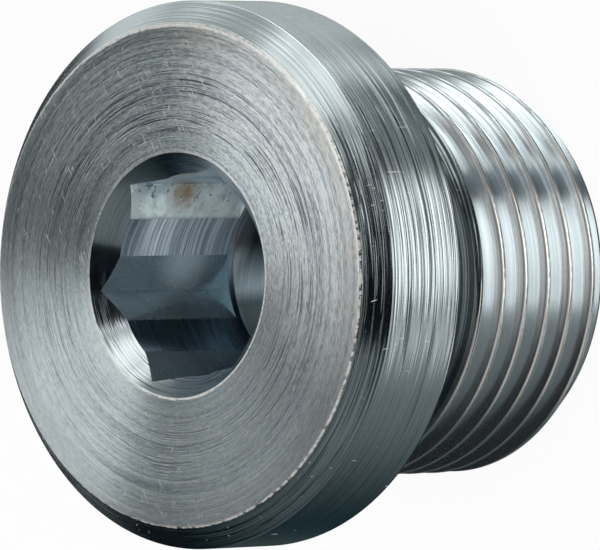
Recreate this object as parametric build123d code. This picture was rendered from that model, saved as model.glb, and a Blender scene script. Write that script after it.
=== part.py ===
"""Hex socket plug with a collar and a G 3/8 pipe thread, turned from one piece of steel.

Lengths are in millimetres and angles in degrees. The plug's axis is Z. The origin is on the
axis at the sealing face, the flat underside of the collar: the collar is above it and the
threaded stud below. Two corners of the hexagon socket point along the X axis.
"""
from build123d import *
import math
import os

# Collar, the round head whose underside seals on the port.
collar_diameter = 22.0
collar_thickness = 5.0
face_chamfer = 0.95
collar_back_radius = 0.25

# Threaded stud. G 3/8 is a parallel pipe thread of 19 turns to the inch, of 55 degree form.
thread_diameter = 16.662
thread_pitch = 25.4 / 19
flank_angle = 55.0
stud_length = 12.0
end_chamfer_length = 1.1
end_chamfer_depth = 0.7

# Neck between the collar and the thread, where the threading tool runs out.
neck_below_root = 0.175
neck_length = 4.0
neck_cone_angle = 45.0

# Hexagon socket, broached in a drilled hole that is a little wider than the key.
key_size = 8.0
key_depth = 7.2
drill_oversize = 0.16
chip_room = 0.3
drill_point_angle = 118.0
countersink_margin = 0.31
countersink_angle = 88.0

# How far a cutter reaches past the surface that it starts from.
overrun = 0.1

# The thread's form: a sixth of the sharp triangle's height is cut off flat at its root, and
# as much is left off at its crest by the bar.
half_flank = flank_angle / 2
triangle_height = thread_pitch / (2 * math.tan(math.radians(half_flank)))
root_radius = thread_diameter / 2 - triangle_height * 2 / 3
root_half_width = triangle_height / 6 * math.tan(math.radians(half_flank))

# The other sizes that follow from the driving ones.
collar_radius = collar_diameter / 2
bar_radius = thread_diameter / 2
neck_radius = root_radius - neck_below_root
cone_length = (bar_radius - neck_radius) / math.tan(math.radians(neck_cone_angle))
neck_end = cone_length - neck_length
end_radius = bar_radius - end_chamfer_depth
key_corner_radius = key_size / math.sqrt(3)
drill_radius = (key_size + drill_oversize) / 2
drill_depth = key_depth + chip_room
drill_point = drill_radius / math.tan(math.radians(drill_point_angle / 2))
countersink_slope = math.tan(math.radians(countersink_angle / 2))
countersink_radius = key_corner_radius + countersink_margin + overrun * countersink_slope
countersink_depth = countersink_radius / countersink_slope - overrun


def spin(outline):
    """A solid of revolution about the plug's axis, from corners given as (radius, height)."""
    return revolve(Plane.XZ * make_face(Polyline(*outline, close=True)), Axis.Z)


def make_blank():
    """The plug as turned, before the thread and the socket are cut.

    It is turned half round, so that the seam of its surfaces is not where the thread's
    turns join.
    """
    blank = spin([
        (0, collar_thickness),
        (collar_radius - face_chamfer, collar_thickness),
        (collar_radius, collar_thickness - face_chamfer),
        (collar_radius, 0),
        (neck_radius, 0),
        (neck_radius, neck_end),
        (bar_radius, -neck_length),
        (bar_radius, end_chamfer_length - stud_length),
        (end_radius, -stud_length),
        (0, -stud_length),
    ])
    edges = blank.edges().filter_by(GeomType.CIRCLE)
    back_edge = edges.sort_by(lambda e: abs(e.radius - collar_radius) + abs(e.center().Z))[0]
    return Rot(0, 0, 180) * fillet(back_edge, collar_back_radius)


def make_thread_turns():
    """The thread's groove, as single turns that follow each other up a right-hand helix.

    The groove's section lies in a plane through the axis: a narrow flat root between two
    flanks, which run out past the bar and leave a land of it as the crest. The turns are one
    sweep, moved up a pitch at a time. The lowest starts on the +X side, half a pitch past a
    whole number of pitches, so that it clears the tip, and the highest ends in the neck.
    """
    mouth_radius = bar_radius + overrun
    flank_run = (mouth_radius - root_radius) * math.tan(math.radians(half_flank))
    mouth_half_width = root_half_width + flank_run
    section = make_face(Polyline(
        (root_radius, root_half_width),
        (mouth_radius, mouth_half_width),
        (mouth_radius, -mouth_half_width),
        (root_radius, -root_half_width),
        close=True,
    ))

    start = -(math.ceil(stud_length / thread_pitch) + 0.5) * thread_pitch
    end = neck_end + thread_pitch / 2
    helix = Helix(thread_pitch, thread_pitch, bar_radius, center=(0, 0, start))
    turn = sweep(Pos(0, 0, start) * (Plane.XZ * section), path=helix, is_frenet=True)
    turns = math.ceil((end - start) / thread_pitch)
    return [Pos(0, 0, i * thread_pitch) * turn for i in range(turns)]


def make_socket():
    """The drilled hole with its pointed bottom, the broached hexagon and the countersink."""
    drilled = spin([
        (0, collar_thickness + overrun),
        (drill_radius, collar_thickness + overrun),
        (drill_radius, collar_thickness - drill_depth),
        (0, collar_thickness - drill_depth - drill_point),
    ])
    hexagon = RegularPolygon(key_corner_radius, 6)
    broached = extrude(Pos(0, 0, collar_thickness - key_depth) * hexagon, key_depth + overrun)
    countersink = spin([
        (0, collar_thickness + overrun),
        (countersink_radius, collar_thickness + overrun),
        (0, collar_thickness - countersink_depth),
    ])
    return drilled + broached + countersink


plug = make_blank() - make_thread_turns() - make_socket()

os.makedirs("parts", exist_ok=True)
export_step(plug, "parts/plug.step")
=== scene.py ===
import math

import bmesh
import bpy
from mathutils import Matrix, Vector


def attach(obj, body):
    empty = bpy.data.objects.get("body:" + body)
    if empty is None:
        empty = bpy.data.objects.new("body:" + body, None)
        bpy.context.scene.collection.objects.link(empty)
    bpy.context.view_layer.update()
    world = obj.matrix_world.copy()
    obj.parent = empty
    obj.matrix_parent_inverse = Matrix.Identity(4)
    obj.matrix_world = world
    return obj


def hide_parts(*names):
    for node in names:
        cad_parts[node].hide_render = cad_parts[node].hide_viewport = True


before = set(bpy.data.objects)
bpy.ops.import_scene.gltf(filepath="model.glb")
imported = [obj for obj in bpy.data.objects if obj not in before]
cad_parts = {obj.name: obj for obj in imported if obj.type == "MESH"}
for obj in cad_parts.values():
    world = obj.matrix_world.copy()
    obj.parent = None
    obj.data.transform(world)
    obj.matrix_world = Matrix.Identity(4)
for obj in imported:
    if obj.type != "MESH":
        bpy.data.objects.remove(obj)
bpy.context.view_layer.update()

# The blank. Free-cutting steel, faced, turned, drilled, countersunk and then zinc plated. The
# tool's feed leaves rings that rise and fade round the plug, and the plating is knocked thin
# along the two sharp edges of the face.
MM = 0.001
ZINC = (0.80, 0.83, 0.845, 1)
# Darker zinc for fine tool marks, and for painted shade.
TOOL_MARK_AND_SHADE_ZINC = (0.34, 0.37, 0.39, 1)
# Near black for scores, and for a painted dark wedge in the countersink.
DARK_SCORE_AND_SHADE = (0.10, 0.11, 0.13, 1)
WORN_ZINC = (0.93, 0.90, 0.86, 1)


class Value:
    """A number, colour or shape that nodes work out, held as the socket that it comes from."""

    def __init__(self, nodes, socket):
        self.nodes = nodes
        self.socket = socket

    def maths(self, operation, *numbers):
        return self.nodes.node("ShaderNodeMath", {"operation": operation}, dict(enumerate(numbers)))

    def __add__(self, other):
        return self.maths("ADD", self, other)

    def __radd__(self, other):
        return self.maths("ADD", other, self)

    def __sub__(self, other):
        return self.maths("SUBTRACT", self, other)

    def __rsub__(self, other):
        return self.maths("SUBTRACT", other, self)

    def __mul__(self, other):
        return self.maths("MULTIPLY", self, other)

    def __rmul__(self, other):
        return self.maths("MULTIPLY", other, self)

    def __truediv__(self, other):
        return self.maths("DIVIDE", self, other)

    def __rtruediv__(self, other):
        return self.maths("DIVIDE", other, self)

    def __pow__(self, other):
        return self.maths("POWER", self, other)

    def __rpow__(self, other):
        return self.maths("POWER", other, self)

    def __gt__(self, other):
        return self.maths("GREATER_THAN", self, other)

    def root(self):
        return self.maths("SQRT", self)

    def size(self):
        return self.maths("ABSOLUTE", self)

    def greater(self, other):
        """The larger of the two."""
        return self.maths("MAXIMUM", self, other)

    def ramp(self, low, high, start=0.0, end=1.0):
        """Start below low, end above high, and an even curve between."""
        settings = {"interpolation_type": "SMOOTHSTEP"}
        values = {"Value": self, "From Min": low, "From Max": high, "To Min": start, "To Max": end}
        return self.nodes.node("ShaderNodeMapRange", settings, values)

    def band(self, low, high, soft):
        """One between low and high, and nothing outside."""
        return self.ramp(low - soft, low + soft) * self.ramp(high - soft, high + soft, 1.0, 0.0)


class Nodes:
    """A tree of nodes, in which each is added with its settings and its sockets' values."""

    def __init__(self, tree):
        self.tree = tree

    def node(self, kind, settings=None, values=None, output=0):
        """A node with its settings set first, then its values and links. Gives one output."""
        node = self.tree.nodes.new(kind)
        for key, setting in (settings or {}).items():
            setattr(node, key, setting)
        for key, value in (values or {}).items():
            if isinstance(value, Value):
                self.tree.links.new(value.socket, node.inputs[key])
            else:
                node.inputs[key].default_value = value
        return Value(self, node.outputs[output] if len(node.outputs) else None)

    def vector(self, operation, *values, output=0, **named):
        """Vector Math on places, directions and colours."""
        values = {**dict(enumerate(values)), **named}
        return self.node("ShaderNodeVectorMath", {"operation": operation}, values, output)

    def join(self, x, y, z):
        return self.node("ShaderNodeCombineXYZ", {}, {"X": x, "Y": y, "Z": z})


class Finish(Nodes):
    """A material with one shader, and where a point of the plug lies, in millimetres."""

    def __init__(self, name):
        self.material = bpy.data.materials.new(name)
        self.material.use_nodes = True
        super().__init__(self.material.node_tree)
        self.shader = self.tree.nodes["Principled BSDF"]
        place = self.node("ShaderNodeTexCoord", output="Object")
        self.place = self.vector("SCALE", place, Scale=1 / MM)
        self.x, self.y, self.z = (
            self.node("ShaderNodeSeparateXYZ", {}, {0: self.place}, axis) for axis in "XYZ")
        self.radius = (self.x * self.x + self.y * self.y).root()
        self.cos = self.x / self.radius
        self.sin = self.y / self.radius

    def noise(self, place, detail, roughness, seed, scale=1.0):
        """Noise from 0 to 1, mostly near a half."""
        values = {"Vector": place, "W": seed, "Scale": scale, "Detail": detail, "Roughness": roughness}
        return self.node("ShaderNodeTexNoise", {"noise_dimensions": "4D"}, values)

    def rings(self, way, feed, waver, seed, detail=3.0):
        """Tool marks: noise that changes with every feed across them and slowly along them."""
        place = self.join(way / feed, self.cos * waver, self.sin * waver)
        return self.noise(place, detail, 0.6, seed)

    def towards(self, angle):
        """How far a point lies from the axis, towards an angle in the XY plane."""
        turn = math.radians(angle)
        return self.x * math.cos(turn) + self.y * math.sin(turn)

    def nicks(self, angle, length, width, share, seed):
        """Short fine knocks that lie at an angle in the XY plane, thicker in some places."""
        along = self.towards(angle) / length
        across = self.towards(angle + 90) / width
        knocks = self.noise(self.join(along, across, self.z), 0.0, 0.5, seed)
        crowd = self.noise(self.place, 1.0, 0.5, seed + 1.0, 0.6)
        return (knocks + crowd * 0.25).ramp(share, share + 0.03)

    def mix(self, share, low, high):
        """A colour between two others."""
        return self.node("ShaderNodeMix", {"data_type": "RGBA"}, {0: share, 6: low, 7: high}, 2)

    def feed(self, **values):
        """Set the shader's sockets, or link values to them."""
        for name, value in values.items():
            socket = self.shader.inputs[name.replace("_", " ").title()]
            if isinstance(value, Value):
                self.tree.links.new(value.socket, socket)
            else:
                socket.default_value = value

    def brush(self, wide, narrow):
        """A metal that scatters light wide across the tool's rings and narrow along them.

        Gives the roughness that goes with the two.
        """
        self.feed(metallic=1.0, anisotropic=(1 - narrow / wide) / 0.9, anisotropic_rotation=0.25)
        return (wide * narrow) ** 0.25

    def relief(self, height):
        """Raise the surface by a height in millimetres."""
        self.feed(normal=self.node("ShaderNodeBump", {}, {"Distance": MM, "Height": height}))


FACE_ZINC = (0.90, 0.925, 0.94, 1)
WARM_ZINC = (0.96, 0.90, 0.82, 1)
GRAIN_ZINC = (0.42, 0.45, 0.48, 1)

faced = Finish("faced_finish")
rings = faced.rings(faced.radius, 0.16, 0.7, 0.0)
fine = faced.rings(faced.radius, 0.05, 3.0, 5.0, 2.0)
grain = faced.noise(faced.join(faced.radius / 0.055, faced.cos * 25, faced.sin * 25), 2.0, 0.65, 7.0)
haze = faced.noise(faced.place, 3.0, 0.55, 13.0, 0.5)
scores = faced.rings(faced.radius, 0.075, 2.2, 11.0, 1.5).ramp(0.545, 0.61)
scores = scores * faced.radius.band(5.8, 8.3, 0.5)
# The marks are stronger on one side, and the other side is painted lighter by a milky, less metallic share,
# a painted glare.
crisp = (faced.sin + faced.cos * 0.5).ramp(-0.8, 0.8, 0.6, 1.35)
chips = faced.noise(faced.join(faced.cos * 42, faced.sin * 42, faced.radius * 4), 3.0, 0.7, 17.0)
upper = (faced.sin * 0.8 + faced.cos * 0.6).ramp(-0.2, 0.8)
outer_edge = (faced.radius + chips * 0.20 + haze * 0.16 + upper * 0.05).band(10.19, 12.0, 0.02)
mouth_edge = (faced.radius - chips * 0.16 - haze * 0.12).band(4.0, 4.85, 0.02)
mouth_edge = mouth_edge * (faced.y - faced.x).ramp(-1.0, 5.0, 1.0, 0.35)
worn = outer_edge * (upper * 0.7 + 0.3) + mouth_edge
worn = worn * (faced.z > 4.85) * chips.ramp(0.34, 0.52, 0.35, 1.0)
nicks = faced.nicks(112, 0.9, 0.055, 0.875, 53.0) * (faced.y + faced.x * 0.2).ramp(-2.0, 5.0, 0.3, 1.0)
nicks = nicks + faced.nicks(64, 0.5, 0.05, 0.905, 61.0)
light = worn.greater(nicks)
warmth = faced.radius.band(9.2, 11.0, 0.5) * haze.ramp(0.4, 0.6, 0.3, 1.0)
warmth = warmth * (faced.y * 0.6 + faced.x * 0.8).ramp(0.0, 8.0, 0.2, 1.0)
colour = faced.mix(warmth, FACE_ZINC, WARM_ZINC)
shade = grain.ramp(0.38, 0.58, 0.58, 0.0) + rings.ramp(0.38, 0.56, 0.42, 0.0)
colour = faced.mix((shade - 0.4) * crisp + 0.4, colour, GRAIN_ZINC)
colour = faced.mix(scores * crisp * 0.62, colour, DARK_SCORE_AND_SHADE)
# The face's outer ring is painted darker, a painted shade.
colour = faced.mix(faced.radius.ramp(8.9, 9.5, 0.0, 0.25), colour, TOOL_MARK_AND_SHADE_ZINC)
chalk_and_painted_light = (faced.cos * 0.93 + faced.sin * 0.37).ramp(0.35, 0.95) * 0.9
chalk_and_painted_light = chalk_and_painted_light * faced.radius.ramp(5.0, 7.5, 0.2, 1.0)
rough = rings.ramp(0.3, 0.7, 0.85, 1.15) + haze.ramp(0.35, 0.65, -0.06, 0.06)
rough = rough * faced.brush(0.24, 0.042)
colour = faced.mix(light, colour, WORN_ZINC)
faced.feed(base_color=colour, metallic=1 - light.greater(chalk_and_painted_light) * 0.5, roughness=rough)
height = (rings - 0.5) * 0.016 + (fine - 0.5) * 0.008 + (grain - 0.5) * 0.010 - scores * 0.006
faced.relief(height * crisp + faced.radius * 0.05 - nicks * 0.004 - chips * worn * 0.01)

NECK_PAINTED_SHADE = (0.06, 0.09, 0.10, 1)

turned = Finish("turned_finish")
way = turned.radius - turned.z
swell = turned.rings(way, 0.5, 0.5, 2.0)
rings = turned.rings(way, 0.16, 0.9, 4.0, 2.0)
fine = turned.rings(way, 0.06, 2.0, 6.0, 2.0)
# The marks fade round the collar, and a dark band painted on its chamfer stands in for a dark reflection.
calm = turned.sin.ramp(0.45, 0.72, 1.0, 0.22) * turned.sin.ramp(-0.8, -0.4, 0.55, 1.0)
calm = calm * turned.z.ramp(4.0, 4.15, 1.0, 1.35)
scores = turned.rings(way, 0.11, 1.2, 10.0, 1.0) + turned.cos.ramp(0.86, 0.97) * 0.07
scores = scores.ramp(0.62, 0.67) * calm
nicks = turned.nicks(20, 0.3, 0.06, 0.93, 29.0)
chips = turned.noise(turned.join(turned.cos * 42, turned.sin * 42, turned.z * 4), 3.0, 0.7, 17.0)
worn = (turned.z + chips * 0.12).band(4.98, 5.2, 0.02) * chips.ramp(0.36, 0.55, 0.2, 1.0)
light = nicks.greater(worn)
neck = turned.z.band(-4.1, -0.05, 0.02)
dark_reflection_band = turned.z.ramp(4.0, 4.15) * turned.cos.ramp(0.5, 0.8) * turned.sin.band(-0.33, 0.04, 0.08)
colour = turned.mix(fine.ramp(0.38, 0.6, 0.3, 0.0) * calm, ZINC, TOOL_MARK_AND_SHADE_ZINC)
colour = turned.mix(dark_reflection_band * 0.7, colour, TOOL_MARK_AND_SHADE_ZINC)
colour = turned.mix(scores * 0.75, colour, DARK_SCORE_AND_SHADE)
# The neck is painted dark, a painted shade under the collar.
colour = turned.mix(neck * rings.ramp(0.5, 0.6, 0.9, 0.0), colour, NECK_PAINTED_SHADE)
rough = swell.ramp(0.3, 0.7, 0.85, 1.2) * turned.brush(0.045, 0.022)
colour = turned.mix(light, colour, WORN_ZINC)
turned.feed(base_color=colour, metallic=1 - light * 0.45, roughness=rough)
height = (swell - 0.5) * 0.05 + (rings - 0.5) * 0.022 + (fine - 0.5) * 0.009
turned.relief(height * calm - scores * 0.008)

BLUE_ZINC = (0.82, 0.93, 1.0, 1)
DRILL_LINE = (0.34, 0.44, 0.56, 1)
HOLE_FOOT_SHADE = (0.06, 0.08, 0.09, 1)
WET_FLAT = 150

drilled = Finish("drilled_finish")
way = drilled.radius * 0.3 + drilled.z + drilled.y * 0.12
rings = drilled.rings(way, 0.3, 0.7, 3.0)
fine = drilled.rings(way, 0.09, 1.0, 8.0, 2.0)
# The dark foot of the hole is painted shade, and its brighter patch and the milky strip are painted light,
# in place of reflections.
foot = drilled.z.ramp(-2.6, -2.1, 1.0, 0.0)
bright = drilled.y.band(-0.4, 1.4, 0.4) * drilled.x.ramp(-2.6, -1.4, 0.5, 0.0)
strip = drilled.towards(WET_FLAT).ramp(3.4, 3.9) * drilled.z.ramp(2.6, 4.3, 1.0, 0.3)
strip = strip * (drilled.z.band(1.5, 2.7, 0.5) * 0.7 + 0.9)
colour = drilled.mix(fine.ramp(0.34, 0.66, 0.55, 0.0), BLUE_ZINC, DRILL_LINE)
colour = drilled.mix(foot * (1 - bright) * 0.95, colour, HOLE_FOOT_SHADE)
rough = foot * 0.15 + drilled.brush(0.06, 0.03)
drilled.feed(base_color=colour, roughness=rough, metallic=1 - strip * fine.ramp(0.35, 0.65, 0.3, 0.6))
drilled.relief(((rings - 0.5) * 0.03 + (fine - 0.5) * 0.006) * (1 - foot * 0.8))

CONE_PAINTED_LIGHT = (0.97, 0.98, 1.0, 1)
CONE_SHADE = (0.30, 0.38, 0.42, 1)

sunk = Finish("countersunk_finish")
way = sunk.radius + sunk.z
rings = sunk.rings(way, 0.11, 0.6, 3.0)
scores = sunk.rings(way, 0.08, 0.8, 31.0, 1.0).ramp(0.58, 0.64)
calm = (sunk.y - sunk.x).ramp(2.0, 5.0, 1.0, 0.25)
# The cone's dark wedge is a painted reflection, and its bright part and its darker top, bottom and side are
# painted light and shade.
painted_dark_wedge = (sunk.sin + (rings - 0.5) * 0.4).band(-0.30, 0.16, 0.03) * (0 - sunk.cos > 0)
colour = sunk.mix((sunk.x + sunk.y).ramp(-5.5, -3.0, 1.0, 0.0), ZINC, CONE_PAINTED_LIGHT)
colour = sunk.mix(sunk.y.size().ramp(3.7, 4.4, 0.0, 0.7), colour, CONE_SHADE)
colour = sunk.mix(sunk.cos.ramp(0.5, 0.9, 0.0, 0.35), colour, CONE_SHADE)
colour = sunk.mix((scores * calm * 0.75).greater(painted_dark_wedge * 0.6), colour, DARK_SCORE_AND_SHADE)
rough = rings.ramp(0.3, 0.7, 0.9, 1.1) * sunk.brush(0.04, 0.018)
sunk.feed(base_color=colour, roughness=rough)
sunk.relief(((rings - 0.5) * 0.014 - scores * 0.006) * calm)

AROUND = 256
COLLAR_RADIUS = 11.0
COLLAR_TOP = 5.0
FACE_CHAMFER = 0.95
BACK_RADIUS = 0.25
NECK_RADIUS = 7.300
NECK_END = -4.0
BAR_RADIUS = 8.331
CREST_LAND = 0.004
STUD_END = -12.0
END_CHAMFER_LENGTH = 1.1
END_CHAMFER_DEPTH = 0.7
DRILL_RADIUS = 4.08
DRILL_FLOOR = -2.5
DRILL_POINT = DRILL_FLOOR - DRILL_RADIUS / math.tan(math.radians(118 / 2))
KEY_SIZE = 8.0
MOUTH_RADIUS = KEY_SIZE / math.sqrt(3) + 0.31
SINK_END = COLLAR_TOP - (MOUTH_RADIUS - DRILL_RADIUS) / math.tan(math.radians(88 / 2))


def rounded(corners, steps=5, guard=0.02):
    """An outline through (x, y, rounding) corners, as a list of points.

    A rounded corner becomes an arc of short steps. A guard point on each side of it, a little way
    along the straight, keeps the straight's shading flat.
    """
    points = []
    for i, (x, y, rounding) in enumerate(corners):
        here = Vector((x, y))
        if not rounding:
            points.append(here)
            continue
        before = (Vector(corners[i - 1][:2]) - here).normalized()
        after = (Vector(corners[i + 1][:2]) - here).normalized()
        half = before.angle(after) / 2
        reach = rounding / math.tan(half)
        centre = here + (before + after).normalized() * rounding / math.sin(half)
        start = here + before * reach - centre
        sweep = start.angle_signed(here + after * reach - centre)
        points.append(here + before * (reach + guard))
        for k in range(steps + 1):
            points.append(centre + Matrix.Rotation(-sweep * k / steps, 2) @ start)
        points.append(here + after * (reach + guard))
    return points


def add_piece(name, verts, faces, finishes):
    """A mesh from points in millimetres, as an object in the scene."""
    mesh = bpy.data.meshes.new(name)
    mesh.from_pydata([(x * MM, y * MM, z * MM) for x, y, z in verts], [], faces)
    for finish in finishes:
        mesh.materials.append(finish.material)
    piece = bpy.data.objects.new(name, mesh)
    bpy.context.scene.collection.objects.link(piece)
    return piece


def turn_on_lathe(name, outline, finishes, which):
    """A solid turned about Z from an outline that starts and ends on the axis."""
    verts, faces, marks, rows = [], [], [], []
    for r, z in outline:
        if r < 1e-9:
            rows.append([len(verts)] * AROUND)
            verts.append((0, 0, z))
            continue
        rows.append(list(range(len(verts), len(verts) + AROUND)))
        for k in range(AROUND):
            angle = 2 * math.pi * k / AROUND
            verts.append((r * math.cos(angle), r * math.sin(angle), z))
    for i in range(len(rows) - 1):
        a, b = rows[i], rows[i + 1]
        middle = (outline[i] + outline[i + 1]) / 2
        for k in range(AROUND):
            n = (k + 1) % AROUND
            corners = [a[k], b[k], b[n], a[n]]
            faces.append([v for j, v in enumerate(corners) if v != corners[j - 1]])
            marks.append(finishes.index(which(middle.x, middle.y)))
    piece = add_piece(name, verts, faces, finishes)
    piece.data.polygons.foreach_set("material_index", marks)
    return piece


def tool_used(r, z):
    """The finish that the blank has at a radius and a height."""
    if r < MOUTH_RADIUS - 0.03 and z > SINK_END:
        return sunk
    if r < MOUTH_RADIUS - 0.03 and z > DRILL_POINT:
        return drilled
    if z > COLLAR_TOP - 0.01 or z < STUD_END + 0.01 or abs(z) < 0.01:
        return faced
    return turned


plug = turn_on_lathe("hex_socket_plug", rounded([
    (0, DRILL_POINT, 0),
    (DRILL_RADIUS, DRILL_FLOOR, 0.05),
    (DRILL_RADIUS, SINK_END, 0),
    (MOUTH_RADIUS, COLLAR_TOP, 0.03),
    (COLLAR_RADIUS - FACE_CHAMFER, COLLAR_TOP, 0.06),
    (COLLAR_RADIUS, COLLAR_TOP - FACE_CHAMFER, 0.04),
    (COLLAR_RADIUS, 0, BACK_RADIUS),
    (NECK_RADIUS, 0, 0.4),
    (NECK_RADIUS, NECK_END + BAR_RADIUS - NECK_RADIUS, 0.2),
    (BAR_RADIUS - CREST_LAND, NECK_END - CREST_LAND, 0),
    (BAR_RADIUS - CREST_LAND, STUD_END + END_CHAMFER_LENGTH, 0),
    (BAR_RADIUS - END_CHAMFER_DEPTH, STUD_END, 0.08),
    (0, STUD_END, 0),
]), [faced, turned, drilled, sunk], tool_used)

# The thread. A G 3/8 thread, 19 turns to the inch, of 55 degree form, cut with a single point
# that leaves its roots and its crests rounded alike. The tool comes in at the free end and
# runs out in the neck.
PITCH = 25.4 / 19
FLANK = math.radians(55 / 2)
SHARP_HEIGHT = PITCH / (2 * math.tan(FLANK))
FORM_RADIUS = 0.137329 * PITCH
TURNS = 8
THREAD_START = -9.5 * PITCH
ROOT_SHADE = (0.16, 0.20, 0.19, 1)
DARK_REFLECTION_TONE = (0.22, 0.30, 0.36, 1)
THREAD_LINE = (0.36, 0.40, 0.41, 1)
CREST_BARE = (0.90, 0.81, 0.72, 1)
CREST_PAINTED_SHADE = (0.22, 0.22, 0.21, 1)

threaded = Finish("threaded_finish")
lead = threaded.z * (2 * math.pi / PITCH)
up, across = lead.maths("COSINE", lead), lead.maths("SINE", lead)
turn_cos = up * threaded.cos + across * threaded.sin
turn_sin = across * threaded.cos - up * threaded.sin
along = threaded.cos * 0.9 + threaded.z * 0.15
lay = threaded.join(threaded.radius / 0.07, turn_cos * 2.0, turn_sin * 2.0)
rings = threaded.noise(lay, 2.0, 0.6, along)
crest = threaded.radius.ramp(8.26, 8.30)
root = threaded.radius.ramp(7.50, 7.60, 1.0, 0.0)
patch = threaded.noise(threaded.place, 2.0, 0.5, 37.0, 0.8)
# The darker roots and neck are painted shade, a dark band is a painted reflection, and a milky side is
# painted light.
over = threaded.sin.ramp(0.35, 0.62)
under = threaded.sin.ramp(-0.85, -0.6)
calm = threaded.sin.ramp(-0.6, -0.2, 0.25, 1.0)
neck = threaded.z.ramp(-4.1, -3.9)
dark_reflection_band = (threaded.sin + rings * 0.12).band(0.32, 0.46, 0.03)
colour = threaded.mix(root * 0.6, ZINC, ROOT_SHADE)
colour = threaded.mix(dark_reflection_band * 0.6, colour, DARK_REFLECTION_TONE)
colour = threaded.mix(rings.ramp(0.36, 0.6, 0.3, 0.0) * calm, colour, THREAD_LINE)
colour = threaded.mix(neck * rings.ramp(0.5, 0.62, 0.9, 0.3), colour, NECK_PAINTED_SHADE)
# The crests are bare and warm where worn, and painted dark towards +Y as shade.
edge = threaded.mix(over, CREST_BARE, CREST_PAINTED_SHADE)
colour = threaded.mix(crest * patch.ramp(0.35, 0.6, 0.5, 1.0), colour, edge)
rough = (1 + crest * 0.3) * threaded.brush(0.04, 0.024)
chalk_and_painted_light = threaded.cos.ramp(0.5, 0.9) * threaded.sin.ramp(-0.5, -0.1) * 0.22
bare_crest_and_painted_light = (crest * 0.3).greater(chalk_and_painted_light) * (1 - over) * under
threaded.feed(base_color=colour, roughness=rough, metallic=0.98 - bare_crest_and_painted_light * (1 - neck))
threaded.relief((rings - 0.5) * 0.008 * calm)

HALF_MOUTH = PITCH / 2 - SHARP_HEIGHT / 6 * math.tan(FLANK)
outline = rounded([
    (0.4, 0.01 - PITCH / 2, 0),
    (0, 0.01 - PITCH / 2, 0),
    (0, -HALF_MOUTH, FORM_RADIUS * 0.9),
    (-SHARP_HEIGHT * 5 / 6, 0, FORM_RADIUS),
    (0, HALF_MOUTH, FORM_RADIUS * 0.9),
    (0, PITCH / 2 - 0.01, 0),
    (0.4, PITCH / 2 - 0.01, 0),
], guard=0.015)
curve = bpy.data.curves.new("thread_tool", "CURVE")
curve.dimensions = "3D"
line = curve.splines.new("POLY")
line.points.add(len(outline) - 1)
line.use_cyclic_u = True
for point, (out, rise) in zip(line.points, reversed(outline)):
    point.co = (out * MM, rise * MM, 0, 1)
thread_tool = bpy.data.objects.new("thread_tool", curve)
bpy.context.scene.collection.objects.link(thread_tool)

cut = Nodes(bpy.data.node_groups.new("thread_cut", "GeometryNodeTree"))
INPUTS = {
    "Tool": ("NodeSocketObject", thread_tool),
    "Pitch": ("NodeSocketFloat", PITCH * MM),
    "Turns": ("NodeSocketFloat", float(TURNS)),
    "Radius": ("NodeSocketFloat", BAR_RADIUS * MM),
    "Start": ("NodeSocketFloat", THREAD_START * MM),
    "Steps in a turn": ("NodeSocketInt", 200),
    "Finish": ("NodeSocketMaterial", threaded.material),
}
cut.tree.interface.new_socket("Geometry", in_out="OUTPUT", socket_type="NodeSocketGeometry")
cut.tree.interface.new_socket("Geometry", in_out="INPUT", socket_type="NodeSocketGeometry")
for name, (kind, value) in INPUTS.items():
    cut.tree.interface.new_socket(name, in_out="INPUT", socket_type=kind)
given = {name: cut.node("NodeGroupInput", output=name) for name in INPUTS}
helix = cut.node("GeometryNodeCurveSpiral", {}, {
    "Resolution": given["Steps in a turn"],
    "Rotations": given["Turns"],
    "Start Radius": given["Radius"],
    "End Radius": given["Radius"],
    "Height": given["Pitch"] * given["Turns"],
    "Reverse": True,
})
rise = cut.join(0.0, 0.0, given["Start"])
helix = cut.node("GeometryNodeTransform", {}, {"Geometry": helix, "Translation": rise})
helix = cut.node("GeometryNodeSetCurveNormal", {"mode": "Z_UP"}, {"Curve": helix})
tool = cut.node("GeometryNodeObjectInfo", {}, {"Object": given["Tool"]}, "Geometry")
swept = cut.node("GeometryNodeCurveToMesh", {}, {
    "Curve": helix,
    "Profile Curve": tool,
    "Fill Caps": True,
})
swept = cut.node("GeometryNodeRealizeInstances", {}, {"Geometry": swept})
swept = cut.node("GeometryNodeSetMaterial", {}, {"Geometry": swept, "Material": given["Finish"]})
cut.node("NodeGroupOutput", {}, {"Geometry": swept})

groove = add_piece("thread_groove", [], [], [])
sweeping = groove.modifiers.new("sweeping", "NODES")
sweeping.node_group = cut.tree
for item in cut.tree.interface.items_tree:
    if item.name in INPUTS:
        sweeping[item.identifier] = INPUTS[item.name][1]


def settle(piece):
    """Turn what the piece's modifiers make into its plain mesh."""
    graph = bpy.context.evaluated_depsgraph_get()
    mesh = bpy.data.meshes.new_from_object(piece.evaluated_get(graph), depsgraph=graph)
    piece.modifiers.clear()
    piece.data = mesh


def cut_away(piece, cutter):
    """Cut one solid from another, whose new faces get the cutter's finish."""
    cutting = piece.modifiers.new("cutting", "BOOLEAN")
    cutting.operation = "DIFFERENCE"
    cutting.solver = "EXACT"
    cutting.material_mode = "TRANSFER"
    cutting.object = cutter
    settle(piece)
    bpy.data.objects.remove(cutter)


settle(groove)
cut_away(plug, groove)
bpy.data.objects.remove(thread_tool)

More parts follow.
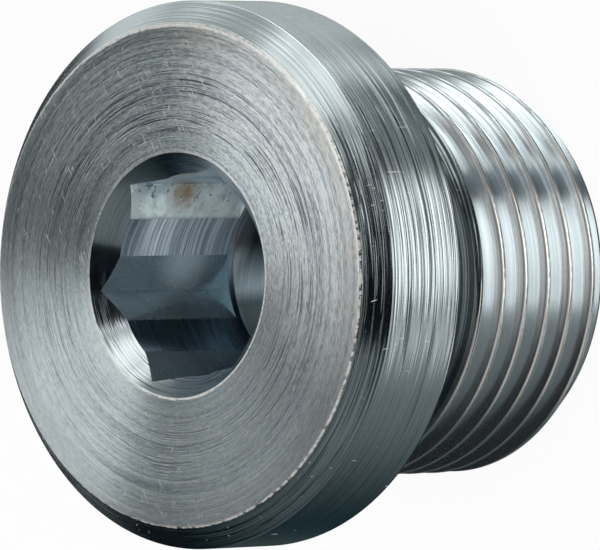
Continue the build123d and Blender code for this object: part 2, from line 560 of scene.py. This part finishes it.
# The socket. An 8 mm hexagon, broached down a drilled hole that is a little wider than the key
# and leaves a hollow along each flat. The broach drags fine lines down the flats, and one of
# them has stood wet: its zinc is chalky and has a spot of rust.
SOCKET_FLOOR = -2.2
DAMP_ZINC = (0.84, 0.98, 1.0, 1)
DAMP_FLAT_DEPTH_SHADE = (0.70, 0.80, 0.82, 1)
STAIN_AND_SHADE_ZINC = (0.36, 0.45, 0.47, 1)
WET_ZINC = (0.56, 0.70, 0.77, 1)
SPECK = (0.10, 0.20, 0.20, 1)
RUST = (0.28, 0.18, 0.10, 1)
RUST_PLACE = (-2.5, 3.67, 1.4)
PALE_PATCH_PLACE = (-3.94, 1.18, 0.2)

broached = Finish("broached_finish")
pull = broached.join(broached.x / 0.16, broached.y / 0.16, broached.z / 3.0)
pull = broached.noise(pull, 3.0, 0.6, 41.0)
blotch = broached.noise(broached.place, 3.0, 0.6, 43.0, 1.6)
specks = broached.noise(broached.place, 3.0, 0.7, 47.0, 4.2).ramp(0.56, 0.64)
side = broached.towards(WET_FLAT + 90)
damp = side.ramp(-1.0, -0.6, 1.0, 0.0) * (broached.towards(WET_FLAT) > 3.9)
rust = broached.vector("DISTANCE", broached.place, RUST_PLACE, output="Value")
rust = (rust + blotch * 2.4).ramp(1.2, 2.4, 0.9, 0.0)
# A paler patch is painted on the flat beside the damp one.
pale_patch = broached.vector("DISTANCE", broached.place, PALE_PATCH_PLACE, output="Value")
# The flat is painted darker deeper in the socket, a painted shade.
colour = broached.mix(broached.z.ramp(0.2, 1.4), DAMP_FLAT_DEPTH_SHADE, DAMP_ZINC)
# Blotches of stain, and a painted shade darkening the flat's end by the corner.
stain_and_shade = blotch.ramp(0.42, 0.58, 0.0, 0.5) + side.ramp(-2.3, -1.5, 0.5, 0.0)
colour = broached.mix(stain_and_shade, colour, STAIN_AND_SHADE_ZINC)
colour = broached.mix(damp, WET_ZINC, colour)
colour = broached.mix(specks * damp * side.ramp(-1.9, -1.2, 0.9, 0.3), colour, SPECK)
colour = broached.mix(rust, colour, RUST)
chalk_and_painted_light = damp * broached.z.ramp(2.4, 3.8, 0.86, 0.7) + pale_patch.ramp(0.2, 2.0, 0.4, 0.0) + 0.14
broached.feed(base_color=colour, metallic=1 - chalk_and_painted_light, roughness=blotch.ramp(0.3, 0.7, 0.22, 0.3))
broached.relief((pull - 0.5) * 0.008 + (blotch - 0.5) * damp * 0.03)

corners = [(math.cos(math.radians(60 * k)), math.sin(math.radians(60 * k))) for k in range(6)]
corners = [(x * KEY_SIZE / math.sqrt(3), y * KEY_SIZE / math.sqrt(3)) for x, y in corners]
broach = add_piece(
    "broach",
    [(x, y, SOCKET_FLOOR) for x, y in corners] + [(x, y, COLLAR_TOP + 1) for x, y in corners],
    [(5, 4, 3, 2, 1, 0), (6, 7, 8, 9, 10, 11)]
    + [(k, (k + 1) % 6, (k + 1) % 6 + 6, k + 6) for k in range(6)],
    [broached])
cut_away(plug, broach)

SHARP = math.radians(30)
bm = bmesh.new()
bm.from_mesh(plug.data)
bmesh.ops.remove_doubles(bm, verts=bm.verts, dist=1e-7)
bmesh.ops.dissolve_degenerate(bm, edges=bm.edges, dist=1e-7)
bmesh.ops.recalc_face_normals(bm, faces=bm.faces)
for face in bm.faces:
    face.smooth = True
for edge in bm.edges:
    edge.smooth = len(edge.link_faces) == 2 and edge.calc_face_angle(0) < SHARP
bm.to_mesh(plug.data)
bm.free()
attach(plug, "root")
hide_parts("plug")

# The floor: a plain white sheet that the plug stands on, free end down. The camera sees it almost
# as bright as the room, and it still takes the plug's soft shadow.
FLOOR_SIZE = 4000
FLOOR_WHITE = (0.9, 0.9, 0.9, 1)
SEEN_AS_WHITE = 0.92

sheet = Finish("white_sheet")
fleck = sheet.noise(sheet.place, 2.0, 0.5, 3.0, 0.4)
sheet.feed(base_color=FLOOR_WHITE, roughness=fleck.ramp(0.3, 0.7, 0.75, 0.85))
to_camera = sheet.node("ShaderNodeLightPath", output="Is Camera Ray")
glow = sheet.node("ShaderNodeEmission", {}, {"Color": (1, 1, 1, 1), "Strength": 1.0})
matt = Value(sheet, sheet.shader.outputs["BSDF"])
seen = sheet.node("ShaderNodeMixShader", {}, {0: to_camera * SEEN_AS_WHITE, 1: matt, 2: glow})
sheet.tree.links.new(seen.socket, sheet.tree.nodes["Material Output"].inputs["Surface"])
half = FLOOR_SIZE / 2
corners = [(x, y, STUD_END) for x, y in ((-half, -half), (half, -half), (half, half), (-half, half))]
floor = add_piece("floor", corners, [(0, 1, 2, 3)], [sheet])
floor.visible_glossy = False

# The room: white all round, at full strength where the camera sees it. Metal and glass would see
# it so too, but the dome stands in the way. One broad soft lamp above brings a matt colour to
# about what is written.
ROOM_LIGHT = 0.63
LAMP_POWER = 2.1
LAMP_SIZE = 500
LAMP_PLACE = (350, -250, 500)

world = bpy.data.worlds.new("room")
world.use_nodes = True
bpy.context.scene.world = world
room = Nodes(world.node_tree)
rays = ("Is Camera Ray", "Is Glossy Ray", "Is Transmission Ray")
camera_ray, glossy_ray, glass_ray = (room.node("ShaderNodeLightPath", output=ray) for ray in rays)
seen = camera_ray.greater(glossy_ray).greater(glass_ray)
strength = seen * (1 - ROOM_LIGHT) + ROOM_LIGHT
white = room.node("ShaderNodeBackground", {}, {"Color": (1, 1, 1, 1), "Strength": strength})
room.tree.links.new(white.socket, room.tree.nodes["World Output"].inputs["Surface"])

lamp = bpy.data.lights.new("soft_lamp", "AREA")
lamp.shape = "DISK"
lamp.size = LAMP_SIZE * MM
lamp.energy = LAMP_POWER
lamp = bpy.data.objects.new("soft_lamp", lamp)
lamp.visible_glossy = False
lamp.visible_camera = False
aim = Vector(LAMP_PLACE).to_track_quat("Z", "Y").to_matrix().to_4x4()
lamp.matrix_world = Matrix.Translation(Vector(LAMP_PLACE) * MM) @ aim
bpy.context.scene.collection.objects.link(lamp)

# The dome: grey cloth with softboxes and black flags, for the bright metal to reflect. Each is
# hung a metre off and adds its tone to the cloth's, which is below nothing for a flag. The cloth
# is lightest towards +X, and darker towards +Y and overhead.
DOME_RADIUS = 1000
DOME_TURN = -8
CLOTH_TINT = (0.94, 1.0, 1.0)
CLOTH_BLUE = (0.0, 0.015, 0.02)
CLOTH_SLOPE = (0.3, -0.23, -0.27)
CLOTH_DARKEST = (0.004, 0.006, 0.008)
BOX_CORNERS = 3
# Azimuth, elevation, width, height, softness of the edge, turn and tone. Most are rounded from
# values that another program fitted, and are not yet set by eye.
HUNG = {
    "key box": (40, 57, 2000, 600, 0.2, -105, 1.05),
    "tall side box": (85, 0, 700, 2000, 0.45, 20, 1.3),
    "high back box": (130, 60, 800, 550, 0.25, 35, 2.0),
    "wide back box": (132, 10, 1500, 1900, 0.2, -15, 0.7),
    "far back box": (180, 15, 1100, 1200, 0.35, 10, 0.75),
    "low front strip": (10, -45, 750, 2000, 0.3, -20, 1.0),
    "low back strip": (143, -48, 700, 1700, 0.4, 10, 0.5),
    "front box": (8, -19, 900, 900, 0.25, -55, 2.0),
    "side strip": (93, -18, 1500, 500, 0.35, 10, 1.9),
    "front flag": (14, 11, 2700, 1400, 0.2, -85, -1.0),
    "floor flag": (13, -75, 2200, 700, 0.35, -75, -1.0),
    "left flag": (-66, -42, 2800, 1900, 0.9, 85, -0.3),
}

dome_cloth = Finish("dome_cloth")
way = dome_cloth.vector("NORMALIZE", dome_cloth.place)
tone = dome_cloth.vector("DOT_PRODUCT", way, CLOTH_SLOPE, output="Value")
for azimuth, elevation, width, height, softness, turn, added in HUNG.values():
    aim = Matrix.Rotation(math.radians(azimuth), 3, "Z") @ Matrix.Rotation(-math.radians(elevation), 3, "Y")
    aim = aim @ Matrix.Rotation(math.radians(turn), 3, "X")
    across = aim.col[1] * 2 * DOME_RADIUS / width
    along = aim.col[2] * 2 * DOME_RADIUS / height
    ahead = dome_cloth.vector("DOT_PRODUCT", way, tuple(aim.col[0]), output="Value")
    x = dome_cloth.vector("DOT_PRODUCT", way, tuple(across), output="Value") / ahead
    y = dome_cloth.vector("DOT_PRODUCT", way, tuple(along), output="Value") / ahead
    out = (x.size() ** BOX_CORNERS + y.size() ** BOX_CORNERS) ** (1 / BOX_CORNERS)
    tone = tone + out.ramp(1 - softness, 1 + softness, 1.0, 0.0) * (ahead > 0.05) * added
light = dome_cloth.vector("ADD", dome_cloth.vector("SCALE", CLOTH_TINT, Scale=tone), CLOTH_BLUE)
light = dome_cloth.vector("MAXIMUM", light, CLOTH_DARKEST)
glow = dome_cloth.node("ShaderNodeEmission", {}, {"Color": light, "Strength": 1.0})
dome_cloth.tree.links.new(glow.socket, dome_cloth.tree.nodes["Material Output"].inputs["Surface"])
dome_cloth.material.cycles.emission_sampling = "NONE"
bm = bmesh.new()
bmesh.ops.create_uvsphere(bm, u_segments=48, v_segments=24, radius=DOME_RADIUS * MM)
dome = add_piece("dome", [], [], [dome_cloth])
bm.to_mesh(dome.data)
bm.free()
dome.rotation_euler.z = math.radians(DOME_TURN)
dome.visible_camera = False
dome.visible_diffuse = False
dome.visible_transmission = False
dome.visible_shadow = False

# The camera: a long lens 375 mm from the plug, that looks down on the collar's face. It is rolled
# by about a quarter turn, so that the plug's axis runs to the right.
# The aim, the angles and the lens were solved by another program, and rounded.
CAMERA_AIM = (1.252, -0.2445, -0.8478)
CAMERA_DISTANCE = 375
CAMERA_AZIMUTH = -7.242
CAMERA_ELEVATION = 46.323
CAMERA_ROLL = -91.048
LENS = 557.53

lens = bpy.data.cameras.new("camera")
lens.lens = LENS
lens.sensor_width = 36
lens.clip_end = 10
camera = bpy.data.objects.new("camera", lens)
bpy.context.scene.collection.objects.link(camera)
turn = Matrix.Rotation(math.radians(CAMERA_AZIMUTH), 3, "Z")
back = turn @ Matrix.Rotation(-math.radians(CAMERA_ELEVATION), 3, "Y") @ Vector((1, 0, 0))
aim = back.to_track_quat("Z", "Y").to_matrix() @ Matrix.Rotation(math.radians(CAMERA_ROLL), 3, "Z")
place = (Vector(CAMERA_AIM) + back * CAMERA_DISTANCE) * MM
camera.matrix_world = Matrix.Translation(place) @ aim.to_4x4()
bpy.context.scene.camera = camera
bpy.context.scene.view_settings.view_transform = "Standard"
